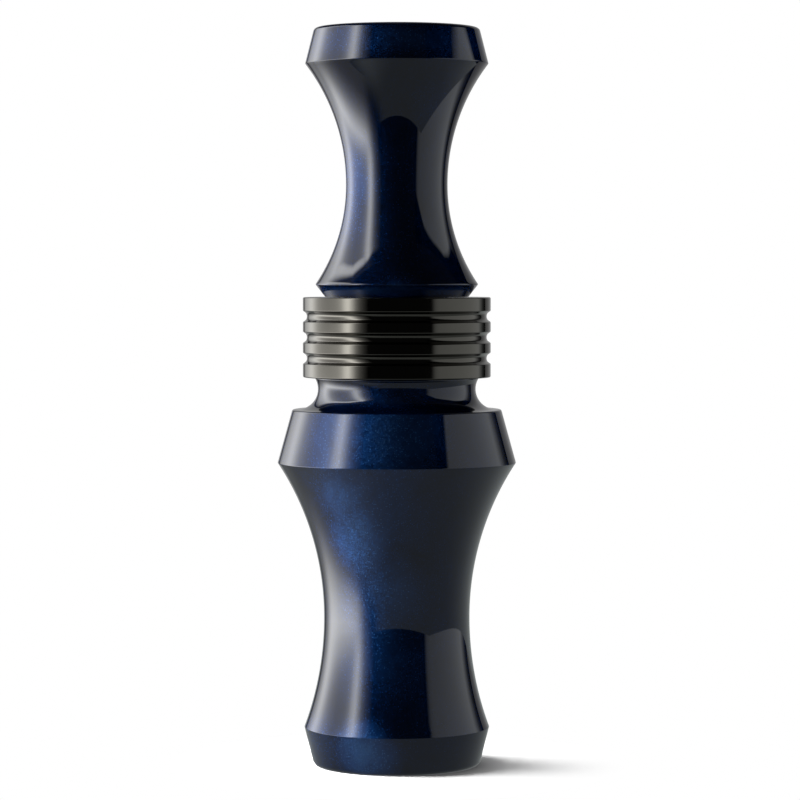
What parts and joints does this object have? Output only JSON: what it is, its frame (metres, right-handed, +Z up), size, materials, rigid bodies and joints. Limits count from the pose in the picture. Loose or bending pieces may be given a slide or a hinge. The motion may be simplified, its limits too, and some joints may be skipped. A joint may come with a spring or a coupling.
{
  "type": "duck call",
  "caption": "Turned call with a waisted barrel, grooved metal band, lanyard groove and a removable insert that carries a tone board, cork wedge, double reed and O-rings.",
  "frame": {"origin": "centre of the mouthpiece lip, on the surface that the call stands on", "axes": "+Z up along the bore towards the exhaust end; the reeds lie on the -Y side of the tone board; X runs across the reeds"},
  "size_m": [0.0381, 0.038, 0.1177],
  "materials": {
    "pearl_acrylic": "polished, with pearl and fine flake inside",
    "gunmetal_band": "polished gunmetal anodising",
    "tone_board_acrylic": "machined, satin",
    "reed_film": "polyester film, satin",
    "cork": "cut agglomerated cork",
    "o_ring_rubber": "matt"
  },
  "bodies": {
    "barrel": {"barrel": "pearl_acrylic", "band": "gunmetal_band"},
    "o_rings": {"o_ring_upper": "o_ring_rubber", "o_ring_lower": "o_ring_rubber"},
    "insert": {"insert": "pearl_acrylic", "tone_board": "tone_board_acrylic", "lower_reed_heel": "reed_film", "upper_reed_heel": "reed_film"},
    "wedge": {"wedge": "cork"},
    "lower_reed": {"lower_reed_tongue": "reed_film"},
    "upper_reed": {"upper_reed_tongue": "reed_film"}
  },
  "joints": [
    {"name": "insert_slide", "type": "slide", "parent": "barrel", "child": "o_rings", "axis": [0, 0, 1], "range_m": [0, 0.061]},
    {"name": "insert_turn", "type": "hinge", "parent": "o_rings", "child": "insert", "pos_m": [0, 0, 0.07495], "axis": [0, 0, 1], "continuous": true},
    {"name": "wedge_slide", "type": "slide", "parent": "insert", "child": "wedge", "axis": [0, 0, 1], "range_m": [-0.012, 0]},
    {"name": "lower_reed_flex", "type": "hinge", "parent": "insert", "child": "lower_reed", "pos_m": [0, -0.00235, 0.03787], "axis": [1, 0, 0], "range_deg": [-1.5, 3], "stiffness_Nm_per_rad": 0.0045},
    {"name": "upper_reed_flex", "type": "hinge", "parent": "insert", "child": "upper_reed", "pos_m": [0, -0.00275, 0.03787], "axis": [1, 0, 0], "range_deg": [-1.5, 3], "stiffness_Nm_per_rad": 0.003}
  ],
  "couplings": [
    {"joint": "upper_reed_flex", "follows": "lower_reed_flex", "ratio": 1}
  ]
}
